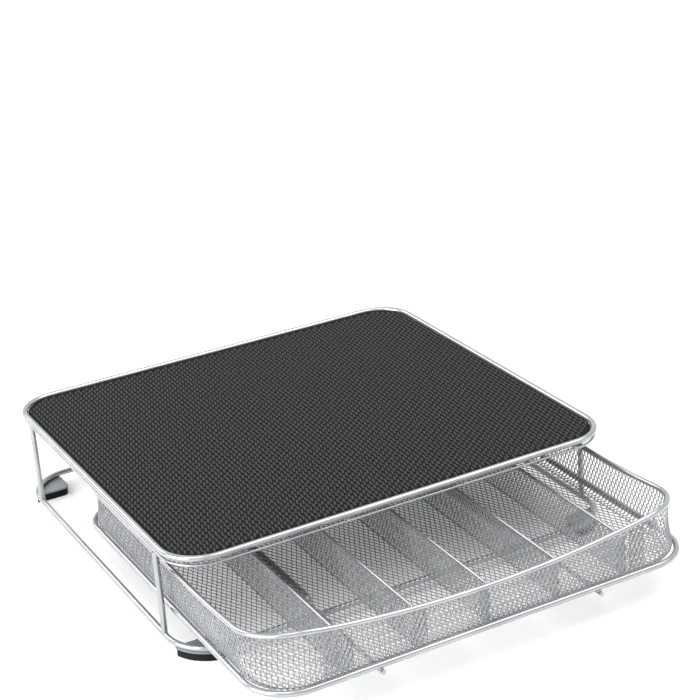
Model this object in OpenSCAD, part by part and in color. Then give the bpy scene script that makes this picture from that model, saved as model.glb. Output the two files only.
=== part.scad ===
// Coffee pod drawer: a wire stand with a mat on top and a mesh drawer that slides out to the front.
// Millimetres, +Z up, the drawer opens towards -Y. The origin is on the ground, under the middle of
// the box that holds the stand and the drawer as it stands open.

/* [Stand] */
// Width of the stand between the wire centre lines
stand_w = 311; // [280:1:340]
// Depth of the stand between the wire centre lines
stand_d = 290; // [270:1:320]
// Overall height, from the ground to the top of the rim wire
stand_h = 73; // [70:0.5:84]
// Plan radius of the top rim's corners, to the wire centre line
rim_corner_r = 27; // [20:1:32]
// Plan radius of the base loop's corners, to the wire centre line
base_corner_r = 30; // [20:1:32]
// Diameter of the rim wire round the top
rim_wire_d = 4; // [3:0.5:5]
// Diameter of the thin wire loop under the rim
under_wire_d = 1.8; // [1.5:0.1:2.5]
// Diameter of the base loop
base_wire_d = 4; // [3:0.5:5]
// Diameter of the four legs
leg_wire_d = 4; // [3:0.5:4]
// Distance of the legs from the stand's middle, front and rear
leg_y = 110; // [90:1:112]

/* [Shelf] */
// Diameter of the wires that carry the shelf panel
cross_wire_d = 1.6; // [1.4:0.1:2.5]
// Number of these wires
cross_wires = 4; // [2:1:6]
// Distance between the outermost two
cross_span = 253.8; // [200:0.2:260]
// Thickness of the panel under the mat
panel_t = 0.8; // [0.6:0.1:1.5]
// Thickness of the mat
mat_t = 1.2; // [1:0.1:2]
// Gap between the mat and the rim wire
mat_gap = 0.3; // [0.2:0.1:1]

/* [Feet] */
// Height of the base loop's underside above the ground
foot_lift = 6.5; // [6:0.5:9]
// Width of a corner plate across the stand, inwards from the base loop's centre line
plate_w = 25.5; // [22:0.5:32]
// Length of a corner plate along the stand, inwards from the base loop's centre line
plate_l = 21.5; // [18:0.5:34]
// How far a plate stands out past the base loop's centre line
plate_lip = 1.5; // [0.5:0.25:1.5]
// Thickness of a corner plate
plate_t = 1.2; // [0.8:0.1:1.6]
// Corner radius of the plates and feet
plate_corner_r = 5; // [2:0.5:8]
// How far a rubber foot's edge lies inside the edge of its plate
foot_inset = 0.5; // [0:0.25:2]

/* [Rails] */
// Diameter of the two rails that the drawer slides on
rail_wire_d = 4; // [3:0.5:5]
// Bend radius of a rail, to the wire centre line
rail_bend_r = 7; // [6:0.5:8]
// Running gap between the drawer and the rails, upwards
rail_gap = 0.3; // [0.2:0.1:0.6]
// Running gap between a rail and the runner beside it
runner_side_gap = 0.5; // [0.3:0.1:1.5]

/* [Drawer] */
// Gap between the drawer's base loop and the legs, on each side
drawer_side_gap = 2.2; // [1:0.1:4]
// Length of the drawer between the centre lines of its base loop
drawer_d = 283; // [240:1:284]
// How far the drawer stands open
drawer_open = 97; // [60:1:140]
// Height of the drawer's base loop above the ground, to its centre line
drawer_base_z = 26.3; // [24.5:0.1:27.5]
// Diameter of the drawer's base loop
drawer_base_wire_d = 4; // [3:0.5:5]
// Plan radius of the drawer base loop's corners, to the wire centre line
drawer_base_corner_r = 29; // [22:1:32]
// Diameter of the drawer's rim wire
drawer_rim_wire_d = 3.5; // [3:0.5:4]
// Plan radius of the drawer rim's corners, to the wire centre line
drawer_rim_corner_r = 37; // [34:1:45]
// Height of the drawer's rim above the ground along the sides and the rear
rim_side_z = 53.5; // [48.5:0.5:55.5]
// Height of the rim in the middle of the front, where it dips
rim_dip_z = 52.2; // [47.5:0.1:52.5]
// Height that the rim rises to at the front corners, before the peak is rounded
rim_peak_z = 62.5; // [55.5:0.1:62.9]
// Distance of the peak from the middle of the front, along the rim
rim_peak_s = 122; // [120:1:150]
// Distance along the rim from the middle of the front to where the side becomes level
rim_level_s = 225; // [200:1:240]
// How much the peak is rounded
rim_peak_round = 3; // [1:0.5:4]

/* [Mesh] */
// Thickness of the mesh sheet
mesh_t = 0.8; // [0.6:0.1:1]
// Radius of the bend between the walls and the floor of the basket, outside
basket_bend_r = 6; // [5:0.5:8]
// Width of a diamond of the mesh in the walls and dividers, between the middles of its strands
diamond_w = 5.5; // [5:0.5:10]
// Height of a diamond, likewise
diamond_h = 11; // [8:0.5:14]
// Width of the strands between the diamonds
strand_w = 1.1; // [0.8:0.1:1.4]
// Number of diamonds across the floor, which has a wider mesh
floor_cells = 12; // [6:1:12]
// Width of the floor's strands
floor_strand_w = 4; // [2:0.5:6]
// Plain edge round each piece of mesh
mesh_edge = 1; // [0.5:0.25:3]

/* [Dividers] */
// Spacing of the five dividers
divider_pitch = 49; // [30:0.5:60]
// Height of the dividers' top wires above the ground, to their centre line
divider_top_z = 51.8; // [45.5:0.1:52.5]
// Diameter of the dividers' top wires
divider_wire_d = 1.8; // [1.5:0.1:2.5]
// Width of the flange that holds a divider to the front and rear walls
divider_flange_w = 6; // [4:0.5:9]

/* [Runners] */
// Diameter of the two runner wires under the drawer
runner_wire_d = 3; // [2:0.5:4]
// Distance of the runner wires from the drawer's middle
runner_x = 76; // [60:1:90]
// How far the runners' ends stand out past the base loop's centre line
runner_reach = 3.5; // [2:0.5:6]

/* [Hidden] */
$fn = 48;
weld_gap = 0.05;
face_gap = 0.02;
dividers = 5;
level_steps = 12;
rim_sides = 12;
rim_ring_step = 5;
corner_steps = 24;
bend_steps = 5;

// Heights, from the top down and from the ground up
rim_z = stand_h - rim_wire_d / 2;
cross_z = rim_z - rim_wire_d / 2 - weld_gap - cross_wire_d / 2;
under_z = cross_z - cross_wire_d / 2 - weld_gap - under_wire_d / 2;
panel_z = cross_z + cross_wire_d / 2 + weld_gap;
base_z = foot_lift + base_wire_d / 2;
plate_z = foot_lift - weld_gap - plate_t;
drawer_base_bottom = drawer_base_z - drawer_base_wire_d / 2;
rail_z = drawer_base_bottom - rail_gap - rail_wire_d / 2;
runner_z = drawer_base_bottom - weld_gap - runner_wire_d / 2;
rail_x = runner_x - runner_wire_d / 2 - runner_side_gap - rail_wire_d / 2;

// Plan of the drawer: its base loop fits between the legs, and the basket nests in the loop
drawer_w = stand_w - leg_wire_d - drawer_base_wire_d - 2 * drawer_side_gap;
nest_reach = basket_bend_r + drawer_base_wire_d / 2 + weld_gap;
nest_drop = basket_bend_r - drawer_base_wire_d / 2;
nest_out = sqrt(pow(nest_reach, 2) - pow(nest_drop, 2)) - basket_bend_r;
basket_w = drawer_w - 2 * nest_out;
basket_d = drawer_d - 2 * nest_out;
basket_corner_r = drawer_rim_corner_r + mesh_t / 2;
rim_w = basket_w - mesh_t;
rim_d = basket_d - mesh_t;
floor_z = drawer_base_bottom;
wall_top_drop = drawer_rim_wire_d / 2 + weld_gap;

// Closed, the rear of the base loop lies where the rails start to bend up, and the bends stop it
rail_y = stand_d / 2;
closed_rear_y = rail_y - rail_bend_r;
drawer_y = closed_rear_y - drawer_d / 2 - drawer_open;

// The origin lies under the middle of the whole, along Y
front_reach = drawer_y - drawer_d / 2 - max(runner_reach, drawer_base_wire_d / 2);
rear_reach = stand_d / 2 + max(rim_wire_d, base_wire_d, rail_wire_d) / 2;
origin_shift = -(front_reach + rear_reach) / 2;

// The rim's path, as a distance s from the middle of the front, on one side
rim_front_half = rim_w / 2 - drawer_rim_corner_r;
rim_arc = PI / 2 * drawer_rim_corner_r;
rim_side_s = rim_front_half + rim_arc;

// ---- Helpers ----

// A straight wire along Y, centred on its own middle
module wire_y(length, d) {
    rotate([90, 0, 0]) cylinder(d = d, h = length, center = true);
}

// A straight wire along X, centred on its own middle
module wire_x(length, d) {
    rotate([0, 90, 0]) cylinder(d = d, h = length, center = true);
}

// A closed loop of round wire with rounded corners, lying flat; w and d are to the centre line
module wire_loop(w, d, r, wire_d) {
    for (side = [-1, 1]) {
        translate([0, side * d / 2, 0]) wire_x(w - 2 * r, wire_d);
        translate([side * w / 2, 0, 0]) wire_y(d - 2 * r, wire_d);
    }
    for (corner = [0 : 3]) {
        sx = corner == 0 || corner == 3 ? 1 : -1;
        sy = corner < 2 ? 1 : -1;
        translate([sx * (w / 2 - r), sy * (d / 2 - r), 0])
            rotate([0, 0, corner * 90])
                rotate_extrude(angle = 90) translate([r, 0]) circle(d = wire_d);
    }
}

// A rectangle with rounded corners
module rounded_rect(w, d, r) {
    square([w - 2 * r, d], center = true);
    square([w, d - 2 * r], center = true);
    for (sx = [-1, 1]) for (sy = [-1, 1])
        translate([sx * (w / 2 - r), sy * (d / 2 - r)]) circle(r = r);
}

// A quarter bend in the plane of Y and Z: it turns from start_angle, counted from +Y, through 90 degrees
module bend_yz(r, wire_d, start_angle) {
    rotate([90, 0, 90]) rotate([0, 0, start_angle])
        rotate_extrude(angle = 90) translate([r, 0]) circle(d = wire_d);
}

// The stand's frame, moved so that the origin is under the middle of the whole
module in_frame() {
    translate([0, origin_shift, 0]) children();
}

// The drawer's frame, at its place as it stands open
module in_drawer() {
    in_frame() translate([0, drawer_y, 0]) children();
}

// ---- Stand ----

module rim_wire() {
    color("silver") in_frame() translate([0, 0, rim_z])
        wire_loop(stand_w, stand_d, rim_corner_r, rim_wire_d);
}

module under_rim_wire() {
    color("silver") in_frame() translate([0, 0, under_z])
        wire_loop(stand_w, stand_d, rim_corner_r, under_wire_d);
}

// The wires end on the loops, between the rim and the wire under it
module shelf_cross_wires() {
    color("silver") in_frame()
        for (i = [0 : cross_wires - 1])
            translate([(i / (cross_wires - 1) - 1 / 2) * cross_span, 0, cross_z])
                wire_y(stand_d + rim_wire_d / 2, cross_wire_d);
}

module shelf_sheet(z, t) {
    edge = rim_wire_d + 2 * mat_gap;
    in_frame() translate([0, 0, z]) linear_extrude(t)
        rounded_rect(stand_w - edge, stand_d - edge, rim_corner_r - edge / 2);
}

module shelf_panel() {
    color("gainsboro") shelf_sheet(panel_z, panel_t);
}

module shelf_mat() {
    color("darkslategray") shelf_sheet(panel_z + panel_t + face_gap, mat_t);
}

// A leg is coped onto the base loop and butts against the thin wire under the rim
module leg(sx, sy) {
    foot_z = base_z + base_wire_d / 4;
    color("silver") in_frame() translate([sx * stand_w / 2, sy * leg_y, 0])
        difference() {
            translate([0, 0, foot_z])
                cylinder(d = leg_wire_d, h = under_z - under_wire_d / 2 - weld_gap - foot_z);
            translate([0, 0, base_z]) wire_y(3 * leg_wire_d, base_wire_d + 2 * weld_gap);
        }
}

module base_wire() {
    color("silver") in_frame() translate([0, 0, base_z])
        wire_loop(stand_w, stand_d, base_corner_r, base_wire_d);
}

// Outline of a corner plate, the given distance inside its edge: it follows the base loop outside and
// is square inside, with rounded corners
module corner_outline(sx, sy, inside) {
    lip = plate_lip - inside;
    w = plate_w + plate_lip - 2 * inside;
    l = plate_l + plate_lip - 2 * inside;
    intersection() {
        rounded_rect(stand_w + 2 * lip, stand_d + 2 * lip, base_corner_r + lip);
        translate([sx * (stand_w / 2 + lip - w / 2), sy * (stand_d / 2 + lip - l / 2)])
            rounded_rect(w, l, plate_corner_r);
    }
}

// A corner plate is welded under the base loop
module corner_plate(sx, sy) {
    color("gray") in_frame() translate([0, 0, plate_z])
        linear_extrude(plate_t) corner_outline(sx, sy, 0);
}

// A rubber foot is a pad bonded under the plate
module foot(sx, sy) {
    color("black") in_frame()
        linear_extrude(plate_z - face_gap) corner_outline(sx, sy, foot_inset);
}

// A rail rises from the front of the base loop, runs back under the drawer, and rises again behind it
// to the wire under the rim, where its bend stops the closed drawer
module drawer_rail(side) {
    low_z = base_z + base_wire_d / 2 + weld_gap;
    high_z = under_z - under_wire_d / 2 - weld_gap;
    color("silver") in_frame() translate([side * rail_x, 0, 0]) {
        translate([0, -rail_y, low_z])
            cylinder(d = rail_wire_d, h = rail_z - rail_bend_r - low_z);
        translate([0, -rail_y + rail_bend_r, rail_z - rail_bend_r])
            bend_yz(rail_bend_r, rail_wire_d, 90);
        translate([0, 0, rail_z]) wire_y(2 * (rail_y - rail_bend_r), rail_wire_d);
        translate([0, rail_y - rail_bend_r, rail_z + rail_bend_r])
            bend_yz(rail_bend_r, rail_wire_d, 270);
        translate([0, rail_y, rail_z + rail_bend_r])
            cylinder(d = rail_wire_d, h = high_z - rail_z - rail_bend_r);
    }
}

// ---- Mesh ----

// Half the width and height of the opening in a diamond cell, inside its strands
function opening_half(cell, strand) = let (diagonal = norm(cell)) [
    cell.x / 2 - strand / 2 * diagonal / cell.y,
    cell.y / 2 - strand / 2 * diagonal / cell.x];

// Centre of a cell: each row lies half a cell above the last and half a cell aside of it
function cell_centre(i, j, cell) = [(i + abs(j) % 2 / 2) * cell.x, j * cell.y / 2];

module diamonds(centres, half) {
    for (c = centres)
        translate(c) polygon([[half.x, 0], [0, half.y], [-half.x, 0], [0, -half.y]]);
}

// The openings of an upright sheet that stands on the height low and ends the distance drop under
// the line through the points
module upright_openings(points, low, drop) {
    cell = [diamond_w, diamond_h];
    half = opening_half(cell, strand_w);
    reach = points[len(points) - 1].x - mesh_edge - half.x;
    first_z = low + mesh_edge + half.y;
    margin = drop + mesh_edge + half.y;
    rows = floor((max([for (p = points) p.y]) - margin - first_z) / (diamond_h / 2));
    columns = ceil(reach / diamond_w);
    diamonds([for (j = [0 : 1 : rows]) for (i = [-columns : columns])
        let (c = cell_centre(i, j, cell) + [0, first_z])
        if (abs(c.x) <= reach && c.y <= lookup(c.x, points) - margin) c], half);
}

// ---- Drawer ----

// Height of the rim's centre line at the distance s along it: the front sweeps up to a rounded peak
// and the side falls away from it
function front_sweep(s) = rim_dip_z + (rim_peak_z - rim_dip_z) * pow(s / rim_peak_s, 2);
function side_fall(s) = let (u = max(0, (rim_level_s - s) / (rim_level_s - rim_peak_s)))
    rim_side_z + (rim_peak_z - rim_side_z) * pow(u, 1.6);
function rim_height(s) = let (
        a = front_sweep(s),
        b = side_fall(s),
        blend = max(rim_peak_round - abs(a - b), 0) / rim_peak_round
    ) min(a, b) - pow(blend, 2) * rim_peak_round / 4;

// A point of the rim's path at the distance s, on the side sx
function rim_plan(s, sx) =
    s < rim_front_half ? [sx * s, -rim_d / 2]
    : s < rim_side_s ? let (a = (s - rim_front_half) / drawer_rim_corner_r * 180 / PI) [
        sx * (rim_front_half + drawer_rim_corner_r * sin(a)),
        -rim_d / 2 + drawer_rim_corner_r * (1 - cos(a))]
    : [sx * rim_w / 2, -rim_d / 2 + drawer_rim_corner_r + s - rim_side_s];
function rim_point(s, sx) = [rim_plan(s, sx).x, rim_plan(s, sx).y, rim_height(s)];

// The whole rim as one closed list of points, from the middle of the front round and back
rear_arc_steps = 8;
front_s = [for (i = [0 : ceil(rim_level_s / rim_ring_step)])
    i * rim_level_s / ceil(rim_level_s / rim_ring_step)];
rear_arc = [for (i = [0 : rear_arc_steps]) let (a = i * 90 / rear_arc_steps) [
    rim_w / 2 - drawer_rim_corner_r * (1 - cos(a)),
    rim_d / 2 - drawer_rim_corner_r * (1 - sin(a)),
    rim_side_z]];
right_half = concat([for (s = front_s) rim_point(s, 1)], rear_arc);
rim_path = concat(right_half, [for (i = [len(right_half) - 1 : -1 : 1])
    [-right_half[i].x, right_half[i].y, right_half[i].z]]);

// A closed tube along a list of points
function unit(v) = v / norm(v);
module closed_tube(path, d, sides) {
    n = len(path);
    rings = [for (i = [0 : n - 1])
        let (
            along = unit(path[(i + 1) % n] - path[(i + n - 1) % n]),
            side = unit(cross(along, [0, 0, 1])),
            up = cross(side, along)
        )
        for (k = [0 : sides - 1])
            path[i] + d / 2 * (side * cos(360 * k / sides) + up * sin(360 * k / sides))];
    faces = [for (i = [0 : n - 1]) for (k = [0 : sides - 1])
        [i * sides + k, i * sides + (k + 1) % sides,
         ((i + 1) % n) * sides + (k + 1) % sides, ((i + 1) % n) * sides + k]];
    polyhedron(rings, faces);
}

module drawer_rim_wire() {
    color("silver") in_drawer() closed_tube(rim_path, drawer_rim_wire_d, rim_sides);
}

module drawer_base_wire() {
    color("silver") in_drawer() translate([0, 0, drawer_base_z])
        wire_loop(drawer_w, drawer_d, drawer_base_corner_r, drawer_base_wire_d);
}

// The flat floor of the basket, inside the bends of its walls
module basket_floor() {
    inset = basket_bend_r + face_gap;
    w = basket_w - 2 * inset;
    d = basket_d - 2 * inset;
    r = basket_corner_r - inset;
    cell = [w / floor_cells, 2 * d / floor_cells];
    half = opening_half(cell, floor_strand_w);
    color("lightgray") in_drawer() translate([0, 0, floor_z]) linear_extrude(mesh_t) difference() {
        rounded_rect(w, d, r);
        diamonds([for (j = [-floor_cells : floor_cells]) for (i = [-floor_cells : floor_cells])
            let (c = cell_centre(i, j, cell), x = abs(c.x), y = abs(c.y))
            if (within_floor(x + half.x, y, w, d, r) && within_floor(x, y + half.y, w, d, r)) c], half);
    }
}

// Whether a point lies in the floor's outline with a plain edge to spare
function within_floor(x, y, w, d, r) =
    norm([max(0, x - w / 2 + r), max(0, y - d / 2 + r)]) <= r - mesh_edge;

// Section of a wall's lower edge: a quarter bend, x outwards from the bend's centre line
module bend_section() {
    difference() {
        intersection() {
            circle(r = basket_bend_r);
            translate([0, -basket_bend_r]) square(basket_bend_r);
        }
        circle(r = basket_bend_r - mesh_t);
    }
}

// Outline of a straight wall seen from outside, with its top edge under the rim from s0 to s1
module wall_outline(points) {
    low = floor_z + basket_bend_r;
    polygon(concat([for (p = points) [p[0], p[1] - wall_top_drop]],
        [[points[len(points) - 1][0], low], [points[0][0], low]]));
}

// A straight wall of the given length along X with its outside at y = 0, facing -Y
module straight_wall(points, length) {
    rotate([90, 0, 0]) translate([0, 0, -mesh_t]) linear_extrude(mesh_t) difference() {
        wall_outline(points);
        upright_openings(points, floor_z + basket_bend_r, wall_top_drop);
    }
    translate([-length / 2, basket_bend_r, floor_z + basket_bend_r])
        rotate([90, 0, 90]) linear_extrude(length) mirror([1, 0]) bend_section();
}

front_wall_w = basket_w - 2 * basket_corner_r;
side_wall_l = basket_d - 2 * basket_corner_r;

module basket_wall_front() {
    half = front_wall_w / 2 - face_gap;
    points = [for (i = [-level_steps : level_steps])
        [i * half / level_steps, rim_height(abs(i) * half / level_steps)]];
    color("lightgray") in_drawer() translate([0, -basket_d / 2, 0]) straight_wall(points, 2 * half);
}

module basket_wall_rear() {
    half = front_wall_w / 2 - face_gap;
    color("lightgray") in_drawer() rotate([0, 0, 180]) translate([0, -basket_d / 2, 0])
        straight_wall([[-half, rim_side_z], [half, rim_side_z]], 2 * half);
}

// Top edge of a side wall: level from the rear, then rising towards the front corner
function side_wall_points(half, front) = let (
        rise = rim_level_s - rim_side_s,
        steps = [for (i = [0 : level_steps])
            [-half + rise * i / level_steps, rim_height(rim_side_s + rise * i / level_steps)]],
        all = concat(steps, [[half, rim_side_z]])
    ) front < 0 ? all : [for (i = [len(all) - 1 : -1 : 0]) [-all[i][0], all[i][1]]];

module basket_wall_side(sx) {
    half = side_wall_l / 2 - face_gap;
    color("lightgray") in_drawer() rotate([0, 0, sx * 90]) translate([0, -basket_w / 2, 0])
        straight_wall(side_wall_points(half, -sx), 2 * half);
}

// A rear corner of the basket: a quarter bend below and a level wall above, both turned about the
// corner's centre
module basket_corner_rear(sx) {
    low = floor_z + basket_bend_r;
    inner = basket_corner_r - mesh_t;
    color("lightgray") in_drawer()
        translate([sx * (basket_w / 2 - basket_corner_r), basket_d / 2 - basket_corner_r, low])
            rotate([0, 0, sx > 0 ? 0 : 90]) rotate_extrude(angle = 90) {
                translate([basket_corner_r - basket_bend_r, 0]) bend_section();
                translate([inner, 0]) square([mesh_t, rim_side_z - wall_top_drop - low]);
            }
}

// Section of a front corner: the quarter bend and the wall up to the height h
function corner_section(h) = let (
        low = floor_z + basket_bend_r,
        centre = basket_corner_r - basket_bend_r,
        arc = [for (k = [0 : bend_steps]) k * 90 / bend_steps]
    ) concat(
        [for (a = arc) [centre + basket_bend_r * sin(a), low - basket_bend_r * cos(a)]],
        [[basket_corner_r, h], [basket_corner_r - mesh_t, h]],
        [for (k = [bend_steps : -1 : 0])
            [centre + (basket_bend_r - mesh_t) * sin(arc[k]),
             low - (basket_bend_r - mesh_t) * cos(arc[k])]]);

// A front corner of the basket: the section turned about the corner's centre, its top under the rim
module basket_corner_front(sx) {
    sections = [for (i = [0 : corner_steps])
        corner_section(rim_height(rim_front_half + rim_arc * i / corner_steps) - wall_top_drop)];
    size = len(sections[0]);
    points = [for (i = [0 : corner_steps]) let (a = 90 * i / corner_steps)
        for (p = sections[i]) [p[0] * sin(a), -p[0] * cos(a), p[1]]];
    faces = [for (i = [0 : corner_steps - 1]) for (k = [0 : size - 1])
        [i * size + k, (i + 1) * size + k, (i + 1) * size + (k + 1) % size, i * size + (k + 1) % size]];
    ends = [[for (k = [0 : size - 1]) k], [for (k = [size - 1 : -1 : 0]) corner_steps * size + k]];
    color("lightgray") in_drawer() mirror([sx > 0 ? 0 : 1, 0, 0])
        translate([basket_w / 2 - basket_corner_r, -basket_d / 2 + basket_corner_r, 0])
            polyhedron(points, concat(faces, ends));
}

// A runner wire lies under the floor and stands out past the base loop at both ends
module runner(side) {
    color("silver") in_drawer() translate([side * runner_x, 0, runner_z])
        wire_y(drawer_d + 2 * runner_reach, runner_wire_d);
}

function divider_x(number) = (number - (dividers + 1) / 2) * divider_pitch;

// A divider panel stands on the floor and is folded over at both ends against the walls; its front
// top corner makes room for the dipped rim
module divider_panel(number) {
    x = divider_x(number);
    inner_half = basket_d / 2 - mesh_t - face_gap;
    foot_half = inner_half - basket_bend_r + mesh_t;
    low = floor_z + mesh_t + face_gap;
    bend_top = floor_z + basket_bend_r;
    high = divider_top_z - divider_wire_d / 2 - weld_gap;
    front_high = min(high, rim_height(max(0, abs(x) - divider_flange_w)) - wall_top_drop);
    notch = drawer_rim_wire_d / 2;
    flange_x = x < 0 ? 0 : x > 0 ? -divider_flange_w : -divider_flange_w / 2;
    color("lightgray") in_drawer() translate([x, 0, 0]) {
        translate([-mesh_t / 2, 0, 0]) rotate([90, 0, 90]) linear_extrude(mesh_t) difference() {
            polygon([[-foot_half, low], [foot_half, low], [inner_half, bend_top],
                [inner_half, high], [notch - inner_half, high], [notch - inner_half, front_high],
                [-inner_half, front_high], [-inner_half, bend_top]]);
            upright_openings([[-foot_half, high], [foot_half, high]], low, 0);
        }
        translate([flange_x, -inner_half, bend_top])
            cube([divider_flange_w, mesh_t, front_high - bend_top]);
        translate([flange_x, inner_half - mesh_t, bend_top])
            cube([divider_flange_w, mesh_t, high - bend_top]);
    }
}

module divider_wire(number) {
    length = basket_d - 2 * mesh_t - 2 * weld_gap - drawer_rim_wire_d;
    color("silver") in_drawer() translate([divider_x(number), 0, divider_top_z])
        wire_y(length, divider_wire_d);
}

rim_wire();
under_rim_wire();
shelf_cross_wires();
shelf_panel();
shelf_mat();
leg(-1, -1);  // leg_front_left
leg(1, -1);  // leg_front_right
leg(-1, 1);  // leg_rear_left
leg(1, 1);  // leg_rear_right
base_wire();
corner_plate(-1, -1);  // corner_plate_front_left
corner_plate(1, -1);  // corner_plate_front_right
corner_plate(-1, 1);  // corner_plate_rear_left
corner_plate(1, 1);  // corner_plate_rear_right
foot(-1, -1);  // foot_front_left
foot(1, -1);  // foot_front_right
foot(-1, 1);  // foot_rear_left
foot(1, 1);  // foot_rear_right
drawer_rail(-1);  // drawer_rail_left
drawer_rail(1);  // drawer_rail_right
drawer_rim_wire();
drawer_base_wire();
basket_floor();
basket_wall_front();
basket_wall_rear();
basket_wall_side(-1);  // basket_wall_left
basket_wall_side(1);  // basket_wall_right
basket_corner_front(-1);  // basket_corner_front_left
basket_corner_front(1);  // basket_corner_front_right
basket_corner_rear(-1);  // basket_corner_rear_left
basket_corner_rear(1);  // basket_corner_rear_right
runner(-1);  // runner_left
runner(1);  // runner_right
divider_panel(1);  // divider_panel_1
divider_panel(2);  // divider_panel_2
divider_panel(3);  // divider_panel_3
divider_panel(4);  // divider_panel_4
divider_panel(5);  // divider_panel_5
divider_wire(1);  // divider_wire_1
divider_wire(2);  // divider_wire_2
divider_wire(3);  // divider_wire_3
divider_wire(4);  // divider_wire_4
divider_wire(5);  // divider_wire_5
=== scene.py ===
import bpy
import bmesh
import math
import random
from mathutils import Matrix, Vector


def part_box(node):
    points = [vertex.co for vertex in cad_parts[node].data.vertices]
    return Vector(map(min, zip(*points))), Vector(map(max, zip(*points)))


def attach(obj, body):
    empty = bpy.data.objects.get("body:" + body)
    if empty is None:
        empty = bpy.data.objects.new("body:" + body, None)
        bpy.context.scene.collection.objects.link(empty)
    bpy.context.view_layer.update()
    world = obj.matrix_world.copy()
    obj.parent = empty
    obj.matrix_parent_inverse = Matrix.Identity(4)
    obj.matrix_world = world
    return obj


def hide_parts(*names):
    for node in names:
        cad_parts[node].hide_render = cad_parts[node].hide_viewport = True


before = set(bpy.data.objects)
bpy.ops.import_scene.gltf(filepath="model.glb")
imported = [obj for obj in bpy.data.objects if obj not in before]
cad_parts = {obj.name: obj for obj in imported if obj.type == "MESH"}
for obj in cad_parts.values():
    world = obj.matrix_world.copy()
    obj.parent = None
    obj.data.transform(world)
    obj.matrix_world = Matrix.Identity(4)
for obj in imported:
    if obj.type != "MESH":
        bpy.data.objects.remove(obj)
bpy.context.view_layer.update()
mm = 0.001
corners = ["front_left", "front_right", "rear_left", "rear_right"]
legs = ["leg_" + corner for corner in corners]
rails = ["drawer_rail_left", "drawer_rail_right"]
runners = ["runner_left", "runner_right"]
dividerNumbers = range(1, 6)
dividerWires = ["divider_wire_" + str(number) for number in dividerNumbers]
print("frame loaded")


def nodeBox(name):
    low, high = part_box(name)
    return Vector(low), Vector(high)


def wireSize(node):
    # thickness of a wire that lies flat
    low, high = nodeBox(node)
    return high.z - low.z


# sizes of the stand and the drawer, read from their nodes, and the radii that the nodes don't tell
rimLow, rimHigh = nodeBox("rim_wire")
stand = {
    "width": rimHigh.x - rimLow.x - wireSize("rim_wire"),    # between the wire's centre lines
    "depth": rimHigh.y - rimLow.y - wireSize("rim_wire"),
    "midY": (rimHigh.y + rimLow.y) / 2,
    "rimZ": (rimHigh.z + rimLow.z) / 2,
}
loopLow, loopHigh = nodeBox("drawer_base_wire")
floorLow, floorHigh = nodeBox("basket_floor")
drawer = {
    "midY": (loopHigh.y + loopLow.y) / 2,
    "loopWidth": loopHigh.x - loopLow.x - wireSize("drawer_base_wire"),
    "loopDepth": loopHigh.y - loopLow.y - wireSize("drawer_base_wire"),
    "loopZ": (loopHigh.z + loopLow.z) / 2,
    "loopRadius": 29 * mm,
    "wire": wireSize("drawer_base_wire"),
    "width": 2 * nodeBox("basket_wall_right")[1].x,          # outside of the basket
    "depth": nodeBox("basket_wall_rear")[1].y - nodeBox("basket_wall_front")[0].y,
    "floorZ": floorLow.z,
    "sheet": floorHigh.z - floorLow.z,
    "bend": 6 * mm,                                          # from the walls into the floor
    "corner": 37.4 * mm,                                     # outside of the basket's corners
}


def newMaterial(name):
    material = bpy.data.materials.new(name)
    material.use_nodes = True
    tree = material.node_tree
    return material, tree, tree.nodes["Principled BSDF"]


def objectNoise(tree, scale, detail):
    coords = tree.nodes.new("ShaderNodeTexCoord")
    noise = tree.nodes.new("ShaderNodeTexNoise")
    noise.inputs["Scale"].default_value = scale
    noise.inputs["Detail"].default_value = detail
    tree.links.new(coords.outputs["Object"], noise.inputs["Vector"])
    return noise.outputs["Fac"]


def rampFrom(tree, source, stops):
    ramp = tree.nodes.new("ShaderNodeValToRGB")
    while len(ramp.color_ramp.elements) < len(stops):
        ramp.color_ramp.elements.new(0.5)
    for element, (place, colour) in zip(ramp.color_ramp.elements, stops):
        element.position = place
        element.color = (*colour, 1)
    tree.links.new(source, ramp.inputs["Fac"])
    return ramp.outputs["Color"]


def addBump(tree, shader, source, strength, depth):
    bump = tree.nodes.new("ShaderNodeBump")
    bump.inputs["Strength"].default_value = strength
    bump.inputs["Distance"].default_value = depth
    tree.links.new(source, bump.inputs["Height"])
    tree.links.new(bump.outputs["Normal"], shader.inputs["Normal"])


coats = {
    "wireCoat": {"dark": (0.37, 0.385, 0.395), "light": (0.47, 0.485, 0.49),
                 "metallic": 0.8, "roughness": 0.17},
    "meshCoat": {"dark": (0.32, 0.335, 0.345), "light": (0.40, 0.415, 0.42),
                 "metallic": 0.6, "roughness": 0.3},
    "sheetCoat": {"dark": (0.48, 0.49, 0.50), "light": (0.56, 0.57, 0.58),
                  "metallic": 0.4, "roughness": 0.42},
    "plateCoat": {"dark": (0.24, 0.26, 0.27), "light": (0.31, 0.33, 0.34),
                  "metallic": 0.3, "roughness": 0.45},
}
coatGrain = {                                        # each noise: scale and detail
    "cloud": (45, 3), "cloudDark": 0.3, "cloudLight": 0.7,
    "wear": (300, 2), "wearSmoother": 0.03, "wearRougher": 0.04,
    "peel": (900, 2), "peelStrength": 0.05, "peelDepth": 0.2 * mm,
}


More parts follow.
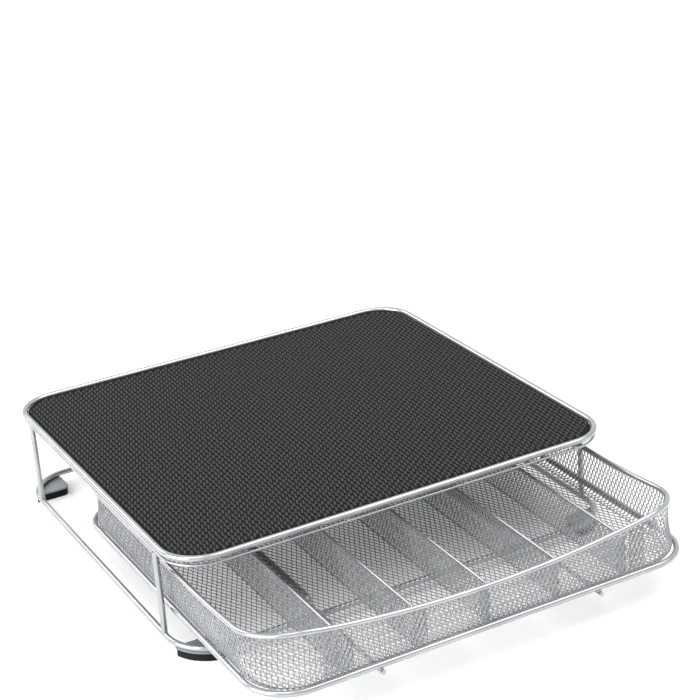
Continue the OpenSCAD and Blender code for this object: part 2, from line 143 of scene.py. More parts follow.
def coatedSteel(name):
    # satin silver coat: faint cloudy variation, a fine orange peel, a little wear in the gloss
    coat = coats[name]
    material, tree, shader = newMaterial(name)
    cloud = objectNoise(tree, *coatGrain["cloud"])
    colour = rampFrom(tree, cloud, [(coatGrain["cloudDark"], coat["dark"]),
                                    (coatGrain["cloudLight"], coat["light"])])
    tree.links.new(colour, shader.inputs["Base Color"])
    shader.inputs["Metallic"].default_value = coat["metallic"]
    wear = objectNoise(tree, *coatGrain["wear"])
    spread = tree.nodes.new("ShaderNodeMapRange")
    spread.inputs["To Min"].default_value = coat["roughness"] - coatGrain["wearSmoother"]
    spread.inputs["To Max"].default_value = coat["roughness"] + coatGrain["wearRougher"]
    tree.links.new(wear, spread.inputs["Value"])
    tree.links.new(spread.outputs["Result"], shader.inputs["Roughness"])
    peel = objectNoise(tree, *coatGrain["peel"])
    addBump(tree, shader, peel, coatGrain["peelStrength"], coatGrain["peelDepth"])
    return material


footLook = {
    "dark": (0.006, 0.006, 0.008), "light": (0.014, 0.014, 0.017),
    "cloud": (220, 3), "cloudDark": 0.3, "cloudLight": 0.7,
    "roughness": 0.6, "specular": 0.15,
    "grain": (2400, 3), "grainStrength": 0.3, "grainDepth": 0.2 * mm,
}


def rubberSurface(tree, shader, look):
    shader.inputs["Roughness"].default_value = look["roughness"]
    shader.inputs["Specular IOR Level"].default_value = look["specular"]
    grain = objectNoise(tree, *look["grain"])
    addBump(tree, shader, grain, look["grainStrength"], look["grainDepth"])


def mouldedRubber(name, look):
    material, tree, shader = newMaterial(name)
    cloud = objectNoise(tree, *look["cloud"])
    colour = rampFrom(tree, cloud, [(look["cloudDark"], look["dark"]),
                                    (look["cloudLight"], look["light"])])
    tree.links.new(colour, shader.inputs["Base Color"])
    rubberSurface(tree, shader, look)
    return material


wireCoat = coatedSteel("wireCoat")
meshCoat = coatedSteel("meshCoat")
sheetCoat = coatedSteel("sheetCoat")
plateCoat = coatedSteel("plateCoat")
footRubber = mouldedRubber("footRubber", footLook)
print("materials made")


def finishPiece(obj, body, material, nodes=()):
    obj.data.materials.clear()
    obj.data.materials.append(material)
    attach(obj, body)
    if nodes:
        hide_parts(*nodes)


def linkObject(name, data):
    obj = bpy.data.objects.new(name, data)
    bpy.context.scene.collection.objects.link(obj)
    return obj


def objectFromBmesh(name, bm):
    mesh = bpy.data.meshes.new(name)
    bm.to_mesh(mesh)
    bm.free()
    return linkObject(name, mesh)


def finishedMesh(obj):
    # an object's mesh with its bevel or modifiers done
    graph = bpy.context.evaluated_depsgraph_get()
    return bpy.data.meshes.new_from_object(obj.evaluated_get(graph))


def smoothByAngle(mesh, degrees):
    for polygon in mesh.polygons:
        polygon.use_smooth = True
    bm = bmesh.new()
    bm.from_mesh(mesh)
    limit = math.radians(degrees)
    for edge in bm.edges:
        edge.smooth = not (edge.is_manifold and edge.calc_face_angle(0) > limit)
    bm.to_mesh(mesh)
    bm.free()


wireShape = {"roundness": 5, "cornerSteps": 14, "merge": 0.01 * mm, "smoothAngle": 35}


def roundWire(node, body, runs, diameter, closed=False):
    # takes a CAD wire's place; runs is one list of points per wire, which a curve makes round
    name = node + "_round"
    curve = bpy.data.curves.new(name, "CURVE")
    curve.dimensions = "3D"
    curve.bevel_depth = diameter / 2
    curve.bevel_resolution = wireShape["roundness"]
    curve.use_fill_caps = not closed
    for points in runs:
        spline = curve.splines.new("POLY")
        spline.points.add(len(points) - 1)
        for target, point in zip(spline.points, points):
            target.co = (*point, 1)
        spline.use_cyclic_u = closed
    holder = linkObject(name, curve)
    mesh = finishedMesh(holder)
    bpy.data.objects.remove(holder)
    obj = linkObject(name, mesh)
    bm = bmesh.new()
    bm.from_mesh(mesh)
    bmesh.ops.remove_doubles(bm, verts=bm.verts, dist=wireShape["merge"])
    bmesh.ops.recalc_face_normals(bm, faces=bm.faces)
    bm.to_mesh(mesh)
    bm.free()
    smoothByAngle(mesh, wireShape["smoothAngle"])
    finishPiece(obj, body, wireCoat, [node])


def loopPoints(width, depth, radius, z, midY, steps):
    # a rounded rectangle, anticlockwise from the right end of the rear
    points = []
    for corner, (sx, sy) in enumerate([(1, 1), (-1, 1), (-1, -1), (1, -1)]):
        centre = Vector((sx * (width / 2 - radius), midY + sy * (depth / 2 - radius), z))
        for i in range(steps + 1):
            angle = math.radians(90 * corner + 90 * i / steps)
            points.append(centre + radius * Vector((math.cos(angle), math.sin(angle), 0)))
    return points


standWires = {
    "rimRadius": 27 * mm, "baseRadius": 30 * mm, "crossWires": 4,
    "legFoot": 0.5 * mm,                  # above the middle of the base wire
    "legTop": 0.8 * mm,                   # above the underside of the thin loop
    "railBend": 7 * mm, "railBendSteps": 8,
    "railGap": 0.3 * mm,                  # under the drawer's base loop
}


def crossWirePlaces():
    low, high = nodeBox("shelf_cross_wires")
    radius = wireSize("shelf_cross_wires") / 2
    gaps = standWires["crossWires"] - 1
    return [low.x + radius + i * (high.x - low.x - 2 * radius) / gaps for i in range(gaps + 1)]


def makeStandWires():
    for node, radius in (("rim_wire", standWires["rimRadius"]),
                         ("under_rim_wire", standWires["rimRadius"]),
                         ("base_wire", standWires["baseRadius"])):
        low, high = nodeBox(node)
        points = loopPoints(stand["width"], stand["depth"], radius, (low.z + high.z) / 2,
                            stand["midY"], wireShape["cornerSteps"])
        roundWire(node, "stand", [points], wireSize(node), closed=True)
    low, high = nodeBox("shelf_cross_wires")
    z = (low.z + high.z) / 2
    runs = [[Vector((x, low.y, z)), Vector((x, high.y, z))] for x in crossWirePlaces()]
    roundWire("shelf_cross_wires", "stand", runs, wireSize("shelf_cross_wires"))
    baseLow, baseHigh = nodeBox("base_wire")
    footZ = (baseLow.z + baseHigh.z) / 2 + standWires["legFoot"]
    topZ = nodeBox("under_rim_wire")[0].z + standWires["legTop"]
    for node in legs:
        low, high = nodeBox(node)
        mid = (low + high) / 2
        points = [Vector((mid.x, mid.y, footZ)), Vector((mid.x, mid.y, topZ))]
        roundWire(node, "stand", [points], high.x - low.x)
    for node in rails:
        makeRail(node)


def makeRail(node):
    # up from the base wire, back under the drawer, and up to the thin loop
    low, high = nodeBox(node)
    radius = (high.x - low.x) / 2
    x = (low.x + high.x) / 2
    bend, steps = standWires["railBend"], standWires["railBendSteps"]
    runZ = nodeBox("drawer_base_wire")[0].z - standWires["railGap"] - radius
    frontY, rearY = low.y + radius, high.y - radius
    angles = [math.radians(i * 90 / steps) for i in range(steps + 1)]
    points = [Vector((x, frontY, low.z))]
    for angle in angles:
        back, down = bend * (1 - math.cos(angle)), bend * (1 - math.sin(angle))
        points.append(Vector((x, frontY + back, runZ - down)))
    for angle in angles:
        ahead, up = bend * (1 - math.sin(angle)), bend * (1 - math.cos(angle))
        points.append(Vector((x, rearY - ahead, runZ + up)))
    points.append(Vector((x, rearY, high.z)))
    roundWire(node, "stand", [points], 2 * radius)


eased = {
    "plateEdge": 0.25 * mm, "footEdge": 0.5 * mm, "segments": 3,
    "merge": 0.005 * mm, "flatAngle": 1,             # joins the node's loose triangles
    "sharpAngle": 40, "smoothAngle": 40,
}


def easedCopy(node, edgeWidth):
    # a CAD node's own shape with its sharp edges rounded
    bm = bmesh.new()
    bm.from_mesh(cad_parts[node].data)
    bmesh.ops.remove_doubles(bm, verts=bm.verts, dist=eased["merge"])
    bmesh.ops.dissolve_limit(bm, angle_limit=math.radians(eased["flatAngle"]), verts=bm.verts,
                             edges=bm.edges)
    limit = math.radians(eased["sharpAngle"])
    sharp = [edge for edge in bm.edges if edge.is_manifold and edge.calc_face_angle(0) > limit]
    bmesh.ops.bevel(bm, geom=sharp, offset=edgeWidth, offset_type="OFFSET",
                    segments=eased["segments"], profile=0.5, affect="EDGES", material=-1,
                    clamp_overlap=True)
    bmesh.ops.recalc_face_normals(bm, faces=bm.faces)
    obj = objectFromBmesh(node + "_eased", bm)
    smoothByAngle(obj.data, eased["smoothAngle"])
    return obj


makeStandWires()
for corner in corners:
    plate, foot = "corner_plate_" + corner, "foot_" + corner
    finishPiece(easedCopy(plate, eased["plateEdge"]), "stand", plateCoat, [plate])
    finishPiece(easedCopy(foot, eased["footEdge"]), "stand", footRubber, [foot])
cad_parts["shelf_panel"].data.materials.clear()
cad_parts["shelf_panel"].data.materials.append(sheetCoat)
print("stand made")


mat = {
    "radius": 24.7 * mm, "cornerSteps": 10,
    "pitchX": 3.125 * mm, "pitchY": 5.2 * mm,        # staggered rows of grains
    "sideMargin": 1.6 * mm, "endMargin": 2.56 * mm,  # from the edge to the grains' middles
    "grainWidth": 1.65 * mm, "grainLength": 6.3 * mm, "grainHeight": 0.35 * mm,
    "grainTurn": -17, "sides": 8, "sink": 0.01 * mm,
    "seed": 5, "turnSpread": 5, "placeSpread": 0.16 * mm, "sizeSpread": 0.1,
    "smoothAngle": 50,
}
# the stops run from painted shade in the skin between the grains to a painted highlight on their
# crests
matLook = {
    "stops": [(0.1, (0.0025, 0.0025, 0.003)), (0.7, (0.008, 0.008, 0.009)),
              (1.0, (0.043, 0.043, 0.044))],
    "below": 0.3 * mm, "above": 0.02 * mm,           # heights about the top, dark to light
    "cloud": (500, 4), "cloudShare": 0.25,
    "roughness": 0.62, "specular": 0.12,
    "grain": (3000, 2), "grainStrength": 0.25, "grainDepth": 0.2 * mm,
}


def matRubber():
    # painted shade and highlight: the skin between the grains is coloured dark, the grains' crests
    # lighter
    material, tree, shader = newMaterial("matRubber")
    coords = tree.nodes.new("ShaderNodeTexCoord")
    split = tree.nodes.new("ShaderNodeSeparateXYZ")
    tree.links.new(coords.outputs["Object"], split.inputs["Vector"])
    # painted shade and highlight: the colour follows height, dark below the grains' tops, light at
    # them
    level = tree.nodes.new("ShaderNodeMapRange")
    top = nodeBox("shelf_mat")[1].z
    level.inputs["From Min"].default_value = top - matLook["below"]
    level.inputs["From Max"].default_value = top + matLook["above"]
    tree.links.new(split.outputs["Z"], level.inputs["Value"])
    mix = tree.nodes.new("ShaderNodeMath")
    mix.operation = "MULTIPLY_ADD"
    mix.inputs[1].default_value = matLook["cloudShare"]
    tree.links.new(objectNoise(tree, *matLook["cloud"]), mix.inputs[0])
    tree.links.new(level.outputs["Result"], mix.inputs[2])
    colour = rampFrom(tree, mix.outputs["Value"], matLook["stops"])
    tree.links.new(colour, shader.inputs["Base Color"])
    rubberSurface(tree, shader, matLook)
    return material


def insideRounded(x, y, halfX, halfY, radius):
    dx = max(0, abs(x) - (halfX - radius))
    dy = max(0, abs(y) - (halfY - radius))
    return abs(x) <= halfX and abs(y) <= halfY and math.hypot(dx, dy) <= radius


def grainOval():
    # one grain, 1 wide and 1 long: only its flat crest, 1 above the skin, with no sides under it
    bm = bmesh.new()
    bmesh.ops.create_circle(bm, cap_ends=True, segments=mat["sides"], radius=0.5)
    bmesh.ops.translate(bm, verts=bm.verts, vec=(0, 0, 1))
    mesh = bpy.data.meshes.new("grain")
    bm.to_mesh(mesh)
    bm.free()
    return mesh


def makeMat():
    low, high = nodeBox("shelf_mat")
    halfX, halfY = (high.x - low.x) / 2, (high.y - low.y) / 2
    midY = (high.y + low.y) / 2
    skinZ = high.z - mat["grainHeight"]
    bm = bmesh.new()
    outline = loopPoints(2 * halfX, 2 * halfY, mat["radius"], low.z, midY, mat["cornerSteps"])
    bottom = bm.faces.new([bm.verts.new(point) for point in outline])
    bmesh.ops.recalc_face_normals(bm, faces=[bottom])
    lifted = bmesh.ops.extrude_face_region(bm, geom=[bottom])
    raised = [part for part in lifted["geom"] if isinstance(part, bmesh.types.BMVert)]
    bmesh.ops.translate(bm, verts=raised, vec=(0, 0, skinZ - low.z))
    grain = grainOval()
    chance = random.Random(mat["seed"])
    columns = int(halfX / mat["pitchX"])
    rows = int(halfY / mat["pitchY"]) + 1
    reachX, reachY = halfX - mat["sideMargin"], halfY - mat["endMargin"]
    for i in range(-columns, columns + 1):
        for j in range(-rows, rows + 1):
            x = i * mat["pitchX"]
            y = (j + 0.5 * (i % 2)) * mat["pitchY"]
            if not insideRounded(x, y, reachX, reachY, mat["radius"] - mat["sideMargin"]):
                continue
            x += chance.uniform(-1, 1) * mat["placeSpread"]
            y += chance.uniform(-1, 1) * mat["placeSpread"]
            angle = mat["grainTurn"] + chance.uniform(-1, 1) * mat["turnSpread"]
            stretch = 1 + chance.uniform(-1, 1) * mat["sizeSpread"]
            place = Matrix.Translation((x, midY + y, skinZ - mat["sink"]))
            turn = Matrix.Rotation(math.radians(angle), 4, "Z")
            size = Matrix.Diagonal((mat["grainWidth"] / stretch, mat["grainLength"] * stretch,
                                    mat["grainHeight"], 1))
            before = len(bm.verts)
            bm.from_mesh(grain)
            bm.verts.ensure_lookup_table()
            bmesh.ops.transform(bm, verts=bm.verts[before:], matrix=place @ turn @ size)
    bpy.data.meshes.remove(grain)
    bmesh.ops.recalc_face_normals(bm, faces=bm.faces)
    obj = objectFromBmesh("shelf_mat_embossed", bm)
    smoothByAngle(obj.data, mat["smoothAngle"])
    finishPiece(obj, "stand", matRubber(), ["shelf_mat"])
    print("mat made:", len(obj.data.polygons), "faces")


makeMat()


# the drawer's rim dips in front, peaks near the front corners and falls away along the sides
rim = {
    "sideRise": 1.3 * mm, "peakRise": 10.3 * mm,     # above the dip
    "peakAt": 122 * mm, "levelAt": 225 * mm,         # along the wire from the front's middle
    "fall": 1.6, "round": 3 * mm,                    # how the peak falls off, and its rounding
    "radius": 37 * mm, "steps": 260,
    "embed": 0.3 * mm,                               # the mesh ends this far under the middle
}
rim["width"] = drawer["width"] - drawer["sheet"]
rim["depth"] = drawer["depth"] - drawer["sheet"]
topLow, topHigh = nodeBox("drawer_rim_wire")
rim["wire"] = topHigh.x - topLow.x - rim["width"]
rim["dipZ"] = topLow.z + rim["wire"] / 2
rim["sideZ"] = rim["dipZ"] + rim["sideRise"]
rim["peakZ"] = rim["dipZ"] + rim["peakRise"]
rim["frontHalf"] = rim["width"] / 2 - rim["radius"]
rim["sideLength"] = rim["depth"] - 2 * rim["radius"]
rim["arc"] = math.pi / 2 * rim["radius"]
rim["half"] = 2 * rim["frontHalf"] + rim["sideLength"] + 2 * rim["arc"]      # front to rear


def rimHeight(s):
    # height of the rim at the distance s from the middle of the front
    front = rim["dipZ"] + (rim["peakZ"] - rim["dipZ"]) * (s / rim["peakAt"]) ** 2
    share = max(0, (rim["levelAt"] - s) / (rim["levelAt"] - rim["peakAt"]))
    side = rim["sideZ"] + (rim["peakZ"] - rim["sideZ"]) * share ** rim["fall"]
    blend = max(rim["round"] - abs(front - side), 0) / rim["round"]      # rounds the peak
    return min(front, side) - blend ** 2 * rim["round"] / 4


def basketPlan(s, inset=0):
    # plan point at the distance s along the sheet's middle, with s from -half to half
    side = 1 if s >= 0 else -1
    s = abs(s)
    front, arc, length = rim["frontHalf"], rim["arc"], rim["sideLength"]
    halfX, halfY, radius = rim["width"] / 2, rim["depth"] / 2, rim["radius"]
    if s < front:
        point, out = Vector((s, -halfY)), Vector((0, -1))
    elif s < front + arc:
        angle = (s - front) / radius
        out = Vector((math.sin(angle), -math.cos(angle)))
        point = Vector((front, -halfY + radius)) + radius * out
    elif s < front + arc + length:
        point, out = Vector((halfX, -halfY + radius + s - front - arc)), Vector((1, 0))
    elif s < front + 2 * arc + length:
        angle = (s - front - arc - length) / radius
        out = Vector((math.cos(angle), math.sin(angle)))
        point = Vector((front, halfY - radius)) + radius * out
    else:
        point, out = Vector((rim["half"] - s, halfY)), Vector((0, 1))
    point = point - inset * out
    return Vector((side * point.x, point.y + drawer["midY"]))


def makeDrawerWires():
    points = []
    for i in range(rim["steps"]):
        s = -rim["half"] + 2 * rim["half"] * i / rim["steps"]
        points.append(Vector((*basketPlan(s), rimHeight(abs(s)))))
    roundWire("drawer_rim_wire", "drawer", [points], rim["wire"], closed=True)
    points = loopPoints(drawer["loopWidth"], drawer["loopDepth"], drawer["loopRadius"],
                        drawer["loopZ"], drawer["midY"], wireShape["cornerSteps"])
    roundWire("drawer_base_wire", "drawer", [points], drawer["wire"], closed=True)
    for node in runners + dividerWires:
        low, high = nodeBox(node)
        mid = (low + high) / 2
        points = [Vector((mid.x, low.y, mid.z)), Vector((mid.x, high.y, mid.z))]
        roundWire(node, "drawer", [points], high.x - low.x)
    print("drawer wires made")


makeDrawerWires()


# expanded steel sheet: the walls, corners, floor and dividers are all cut from it
expanded = {
    "short": 3.5 * mm, "long": 7.0 * mm,             # one diamond
    "strand": 0.56 * mm, "thickness": 0.45 * mm,
    "lean": 0.14 * mm,                               # each strand leans out at its top
    "merge": 0.05 * mm,
    "flare": 6.5 * mm, "flareHeight": 17 * mm,       # of the corners' mesh, near the floor
    "lap": 10.5 * mm, "lapStep": 0.55 * mm,          # of the corners' mesh behind the front's
}


def diamondSheet(length, height):
    # a flat sheet of diamonds in the XY plane from (0, 0) to (length, height)
    columns = max(1, round(length / expanded["short"]))
    rows = max(1, round(height / expanded["long"]))
    bm = bmesh.new()
    bmesh.ops.create_grid(bm, x_segments=columns, y_segments=rows, size=0.5)
    bmesh.ops.translate(bm, verts=bm.verts, vec=(0.5, 0.5, 0))
    bmesh.ops.scale(bm, verts=bm.verts, vec=(length, height, 1))
    inner = [edge for edge in bm.edges if not edge.is_boundary]
    bmesh.ops.poke(bm, faces=bm.faces)
    bmesh.ops.dissolve_edges(bm, edges=inner, use_verts=False)
    return bm


def trimSheet(bm, moved):
    # takes off what was pushed flat against the sheet's new edge
    gone = [face for face in bm.faces if all(vert in moved for vert in face.verts)]
    bmesh.ops.delete(bm, geom=gone, context="FACES")


def leanStrands(holes):
    # the slit sheet was pulled open, so its strands twist: one end of each hole stands out, one in
    for face in holes:
        face.normal_update()
        middle = face.calc_center_median()
        reach = max(vert.co.z - middle.z for vert in face.verts)
        if reach > expanded["long"] / 4:             # not the short ones at the edges
            for vert in face.verts:
                vert.co += face.normal * expanded["lean"] * (vert.co.z - middle.z) / reach


def openSheet(name, bm, nodes=()):
    # cuts the holes, leaving the strands, gives the sheet its thickness and adds it to the drawer
    bmesh.ops.remove_doubles(bm, verts=bm.verts, dist=expanded["merge"])
    bmesh.ops.dissolve_degenerate(bm, edges=bm.edges, dist=expanded["merge"])
    result = bmesh.ops.inset_individual(bm, faces=bm.faces, thickness=expanded["strand"] / 2,
                                        use_even_offset=True)
    rings = set(result["faces"])
    holes = [face for face in bm.faces if face not in rings]
    leanStrands(holes)
    bmesh.ops.delete(bm, geom=holes, context="FACES")
    bmesh.ops.recalc_face_normals(bm, faces=bm.faces)
    obj = objectFromBmesh(name, bm)
    solidify = obj.modifiers.new("sheet", "SOLIDIFY")
    solidify.thickness = expanded["thickness"]
    solidify.offset = 0
    solidMesh = finishedMesh(obj)
    obj.modifiers.clear()
    obj.data = solidMesh
    finishPiece(obj, "drawer", meshCoat, nodes)
    return obj


def cornerFlare(s, z):
    # near the floor the mesh of the corners is drawn out towards the base loop
    past = abs(s) - rim["frontHalf"]
    if past > rim["arc"]:
        past -= rim["arc"] + rim["sideLength"]
    if not 0 < past < rim["arc"]:
        return 0                         # only the corners are drawn out
    angle = past / rim["radius"]
    above = max(0, z - drawer["floorZ"] - drawer["bend"])
    fade = max(0, 1 - above / expanded["flareHeight"])
    return expanded["flare"] * fade ** 2 * (math.cos(angle) + math.sin(angle) - 1)


def makeBasketWall():
    half, bend = rim["half"], drawer["bend"]
    lowZ = drawer["floorZ"] + bend
    middle = bend - drawer["sheet"] / 2              # bend radius at the middle of the sheet
    bendLength = math.pi / 2 * middle
    top = rim["peakZ"] - lowZ
    rows = math.ceil((bendLength + top) / expanded["long"])
    bm = diamondSheet(2 * half, rows * expanded["long"])
    clamped = set()
    for vert in bm.verts:
        s, v = vert.co.x - half, vert.co.y
        if v < bendLength:
            angle = v / middle
            inset, z = middle * (1 - math.sin(angle)), lowZ - middle * math.cos(angle)
        else:
            inset, z = 0, lowZ + v - bendLength
        limit = rimHeight(min(abs(s), half)) - rim["embed"]
        if z > limit:
            z = limit
            clamped.add(vert)
        place = basketPlan(max(-half, min(half, s)), inset - cornerFlare(s, z))
        vert.co = Vector((*place, z))
    trimSheet(bm, clamped)
    nodes = ["basket_wall_" + wall for wall in ("front", "rear", "left", "right")]
    nodes += ["basket_corner_" + corner for corner in corners]
    obj = openSheet("basket_wall_mesh", bm, nodes)
    print("basket wall made:", len(obj.data.polygons), "faces")


def makeLap(side, sign):
    # the corner's mesh runs on for a little behind the front wall's, its diamonds out of step
    length = expanded["lap"]
    low = drawer["floorZ"] + drawer["bend"]
    start = rim["frontHalf"] - length
    top = rimHeight(start + length) - low - rim["wire"] / 2
    rows = math.ceil(top / expanded["long"])
    bm = diamondSheet(length, rows * expanded["long"])
    clamped = set()
    for vert in bm.verts:
        s, z = start + vert.co.x, low + vert.co.y
        limit = rimHeight(s) - rim["wire"] / 2
        if z > limit:
            z = limit
            clamped.add(vert)
        vert.co = Vector((*basketPlan(sign * s, expanded["lapStep"]), z))
    trimSheet(bm, clamped)
    openSheet("basket_lap_mesh_" + side, bm)


def pullInside(vert, halfX, halfY, radius):
    # moves a point outside the rounded outline onto it; says whether it moved
    dx, dy = abs(vert.co.x) - (halfX - radius), abs(vert.co.y) - (halfY - radius)
    reach = math.hypot(max(dx, 0), max(dy, 0))
    if dx > 0 and dy > 0 and reach > radius:
        vert.co.x = math.copysign(halfX - radius + dx * radius / reach, vert.co.x)
        vert.co.y = math.copysign(halfY - radius + dy * radius / reach, vert.co.y)
        return True
    return False


def makeBasketFloor():
    width, depth = floorHigh.x - floorLow.x, floorHigh.y - floorLow.y
    radius = drawer["corner"] - drawer["bend"] - expanded["flare"]
    bm = diamondSheet(width, depth)
    bmesh.ops.translate(bm, verts=bm.verts, vec=(-width / 2, -depth / 2, 0))
    moved = {vert for vert in bm.verts if pullInside(vert, width / 2, depth / 2, radius)}
    trimSheet(bm, moved)
    bmesh.ops.translate(bm, verts=bm.verts,
                        vec=(0, drawer["midY"], (floorLow.z + floorHigh.z) / 2))
    obj = openSheet("basket_floor_mesh", bm, ["basket_floor"])
    print("basket floor made:", len(obj.data.polygons), "faces")


divider = {
    "flange": 6 * mm,                                # folded over at both ends
    "footSheets": 2,                                 # how far the foot stands into the bend
    "merge": 0.2 * mm,
}


def makeDivider(number):
    node = "divider_panel_" + str(number)
    low, high = nodeBox(node)
    wireLow, wireHigh = nodeBox("divider_wire_" + str(number))
    x = (wireLow.x + wireHigh.x) / 2
    sheet, flange = drawer["sheet"], divider["flange"]
    halfY = (high.y - low.y) / 2 - sheet / 2
    bm = diamondSheet(2 * halfY + 2 * flange, high.z - low.z)
    side = 1 if x < -mm else -1          # flanges point inwards, the middle divider's to the left
    bendTop = drawer["floorZ"] + drawer["bend"]
    footHalf = halfY - drawer["bend"] + divider["footSheets"] * sheet
    frontLimit = min(high.z, rimHeight(abs(x)) - rim["wire"] / 2)
    for vert in bm.verts:
        along, z = vert.co.x - flange - halfY, low.z + vert.co.y
        if abs(along) > halfY:
            place = x + side * (abs(along) - halfY)
            y = math.copysign(halfY, along)
            z = max(z, bendTop)
        else:
            rise = min(1, max(0, (z - low.z) / (bendTop - low.z)))
            place = x
            y = math.copysign(min(abs(along), footHalf + (halfY - footHalf) * rise), along)
        if along < -halfY + rim["wire"] / 2:
            z = min(z, frontLimit)
        vert.co = Vector((place, drawer["midY"] + y, z))
    bmesh.ops.remove_doubles(bm, verts=bm.verts, dist=divider["merge"])
    openSheet("divider_mesh_" + str(number), bm, [node])


makeBasketWall()
makeLap("left", -1)
makeLap("right", 1)
makeBasketFloor()
for number in dividerNumbers:
    makeDivider(number)
print("dividers made")


weld = {                                             # radii of the beads, and their offsets
    "wide": 1.25, "flat": 0.75, "fineness": 2, "smoothAngle": 60,
    "legFoot": 1.5 * mm, "legSink": 0.3 * mm, "legTop": 1.6 * mm,
    "railFoot": 1.8 * mm, "railLift": 0.2 * mm, "railTop": 1.5 * mm,
    "cross": 1.0 * mm, "crossInset": 1.2 * mm,
    "runner": 1.4 * mm, "runnerSink": 0.1 * mm,
    "divider": 0.95 * mm, "dividerInset": 0.2 * mm,
}


def beads(name, body, places):
    # places: a point, the size of the bead and the axis along which it is flat
    bm = bmesh.new()
    for point, size, flatAxis in places:
        before = len(bm.verts)
        bmesh.ops.create_icosphere(bm, subdivisions=weld["fineness"], radius=size)
        bm.verts.ensure_lookup_table()
        scale = Vector((weld["wide"], weld["wide"], weld["wide"]))
        scale["xyz".index(flatAxis)] = weld["flat"]
        shape = Matrix.Translation(point) @ Matrix.Diagonal((*scale, 1))
        bmesh.ops.transform(bm, verts=bm.verts[before:], matrix=shape)
    obj = objectFromBmesh(name, bm)
    smoothByAngle(obj.data, weld["smoothAngle"])
    finishPiece(obj, body, wireCoat)


def makeBeads():
    places = []
    baseTop = nodeBox("base_wire")[1].z
    for node in legs:
        low, high = nodeBox(node)
        mid = (low + high) / 2
        places.append((Vector((mid.x, mid.y, baseTop - weld["legSink"])), weld["legFoot"], "z"))
        places.append((Vector((mid.x, mid.y, high.z)), weld["legTop"], "z"))
    for node in rails:
        low, high = nodeBox(node)
        mid = (low + high) / 2
        radius = (high.x - low.x) / 2
        foot = Vector((mid.x, low.y + radius, low.z + weld["railLift"]))
        places.append((foot, weld["railFoot"], "z"))
        places.append((Vector((mid.x, high.y - radius, high.z)), weld["railTop"], "z"))
    low, high = nodeBox("shelf_cross_wires")
    inner = stand["depth"] / 2 - weld["crossInset"]
    for x in crossWirePlaces():
        for y in (stand["midY"] - inner, stand["midY"] + inner):
            places.append((Vector((x, y, (low.z + high.z) / 2)), weld["cross"], "z"))
    beads("stand_weld_beads", "stand", places)
    places = []
    halfLoop = drawer["loopDepth"] / 2
    for node in runners:
        low, high = nodeBox(node)
        mid = (low + high) / 2
        for y in (drawer["midY"] - halfLoop, drawer["midY"] + halfLoop):
            places.append((Vector((mid.x, y, high.z - weld["runnerSink"])), weld["runner"], "z"))
    for node in dividerWires:
        low, high = nodeBox(node)
        mid = (low + high) / 2
        for y in (low.y + weld["dividerInset"], high.y - weld["dividerInset"]):
            places.append((Vector((mid.x, y, mid.z)), weld["divider"], "y"))
    beads("drawer_weld_beads", "drawer", places)
    print("weld beads made")


makeBeads()


studio = {
    "floorSize": 12, "floorSquares": 4, "floorRoughness": 0.9,
    "floorColour": (0.9, 0.9, 0.9), "floorGlow": 0.24,         # seen or mirrored
    "floorBounce": (0.32, 0.32, 0.33),                         # in the light it throws back
    "skyAxis": (-0.45, -0.05, 0.9),                            # towards the brightest part
    "skyEdge": 0.0, "skyFull": 0.95, "skySide": 0.1, "skyTop": 1.1,
    "backdrop": 1.0,
}
lamps = {
    "aim": (0, 0, 0.04),
    "suns": {"keyLamp": {"place": (-0.6, -0.3, 1.9), "angle": 35, "energy": 0.7}},
    "areas": {"topLamp": {"place": (0.58, -0.37, 1.33), "size": 1.0, "energy": 10},
              "backLamp": {"place": (-0.75, 1.24, 0.9), "size": 0.8, "energy": 6},
              "leftLamp": {"place": (-1.6, -0.2, 0.5), "size": 1.4, "energy": 32}},
}
camera = {
    "place": (-0.4966, -1.0623, 0.5348),             # from the middle of the shelf rim
    "yaw": 26.9, "pitch": 22.6, "roll": -4.3,
    "lens": 96.56, "sensor": 36, "clip": (0.05, 50),
}


def seenOrMirrored(tree):
    # 1 for what the camera sees, straight or mirrored in metal
    lightPath = tree.nodes.new("ShaderNodeLightPath")
    either = tree.nodes.new("ShaderNodeMath")
    either.operation = "MAXIMUM"
    tree.links.new(lightPath.outputs["Is Camera Ray"], either.inputs[0])
    tree.links.new(lightPath.outputs["Is Glossy Ray"], either.inputs[1])
    return either.outputs["Value"]


def makeFloor():
    # a sheet that takes the object's soft shadow: it is seen white, and throws back grey light
    bm = bmesh.new()
    bmesh.ops.create_grid(bm, x_segments=studio["floorSquares"],
                          y_segments=studio["floorSquares"], size=studio["floorSize"] / 2)
    floor = objectFromBmesh("studioFloor", bm)
    material, tree, shader = newMaterial("studioFloor")
    shader.inputs["Roughness"].default_value = studio["floorRoughness"]
    shader.inputs["Specular IOR Level"].default_value = 0.0
    shader.inputs["Emission Color"].default_value = (1, 1, 1, 1)
    seen = seenOrMirrored(tree)
    glow = tree.nodes.new("ShaderNodeMath")
    glow.operation = "MULTIPLY"
    glow.inputs[1].default_value = studio["floorGlow"]
    tree.links.new(seen, glow.inputs[0])
    colour = rampFrom(tree, seen, [(0, studio["floorBounce"]), (1, studio["floorColour"])])
    tree.links.new(colour, shader.inputs["Base Color"])
    tree.links.new(glow.outputs["Value"], shader.inputs["Emission Strength"])
    floor.data.materials.append(material)


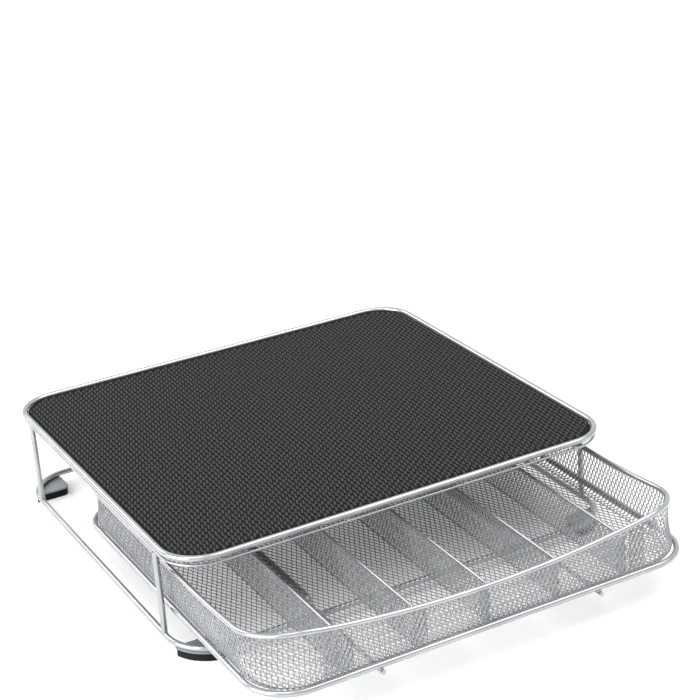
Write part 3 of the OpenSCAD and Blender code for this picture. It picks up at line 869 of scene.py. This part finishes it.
def makeWorld():
    # light from above and the left, little elsewhere; plain white where it is seen or mirrored
    world = bpy.data.worlds.new("studio")
    world.use_nodes = True
    bpy.context.scene.world = world
    tree = world.node_tree
    coords = tree.nodes.new("ShaderNodeTexCoord")
    toward = tree.nodes.new("ShaderNodeVectorMath")
    toward.operation = "DOT_PRODUCT"
    toward.inputs[1].default_value = Vector(studio["skyAxis"]).normalized()
    tree.links.new(coords.outputs["Generated"], toward.inputs[0])
    rise = tree.nodes.new("ShaderNodeMapRange")
    rise.interpolation_type = "SMOOTHSTEP"
    rise.inputs["From Min"].default_value = studio["skyEdge"]
    rise.inputs["From Max"].default_value = studio["skyFull"]
    rise.inputs["To Min"].default_value = studio["skySide"]
    rise.inputs["To Max"].default_value = studio["skyTop"]
    tree.links.new(toward.outputs["Value"], rise.inputs["Value"])
    room = tree.nodes["Background"]
    room.inputs["Color"].default_value = (1, 1, 1, 1)
    tree.links.new(rise.outputs["Result"], room.inputs["Strength"])
    white = tree.nodes.new("ShaderNodeBackground")
    white.inputs["Color"].default_value = (1, 1, 1, 1)
    white.inputs["Strength"].default_value = studio["backdrop"]
    mix = tree.nodes.new("ShaderNodeMixShader")
    tree.links.new(seenOrMirrored(tree), mix.inputs["Fac"])
    tree.links.new(room.outputs["Background"], mix.inputs[1])
    tree.links.new(white.outputs["Background"], mix.inputs[2])
    tree.links.new(mix.outputs["Shader"], tree.nodes["World Output"].inputs["Surface"])


def hangLamp(name, light, place):
    holder = linkObject(name, light)
    holder.location = place
    aim = Vector(lamps["aim"]) - Vector(place)
    holder.rotation_euler = aim.to_track_quat("-Z", "Y").to_euler()


def makeLamps():
    for name, sun in lamps["suns"].items():
        light = bpy.data.lights.new(name, "SUN")
        light.energy = sun["energy"]
        light.angle = math.radians(sun["angle"])
        hangLamp(name, light, sun["place"])
    for name, area in lamps["areas"].items():
        light = bpy.data.lights.new(name, "AREA")
        light.energy = area["energy"]
        light.size = area["size"]
        hangLamp(name, light, area["place"])


def makeCamera():
    yaw, pitch, roll = (math.radians(camera[key]) for key in ("yaw", "pitch", "roll"))
    ahead = Vector((math.sin(yaw) * math.cos(pitch), math.cos(yaw) * math.cos(pitch),
                    -math.sin(pitch)))
    level = Vector((math.cos(yaw), -math.sin(yaw), 0))
    upright = level.cross(ahead)
    right = math.cos(roll) * level + math.sin(roll) * upright
    up = -math.sin(roll) * level + math.cos(roll) * upright
    turn = Matrix((right, up, -ahead)).transposed()
    data = bpy.data.cameras.new("camera")
    data.lens = camera["lens"]
    data.sensor_width = camera["sensor"]
    data.clip_start, data.clip_end = camera["clip"]
    place = Vector(camera["place"]) + Vector((0, stand["midY"], stand["rimZ"]))
    holder = linkObject("camera", data)
    holder.matrix_world = Matrix.Translation(place) @ turn.to_4x4()
    bpy.context.scene.camera = holder


makeFloor()
makeWorld()
makeLamps()
makeCamera()
bpy.context.scene.view_settings.view_transform = "Standard"
print("studio made")
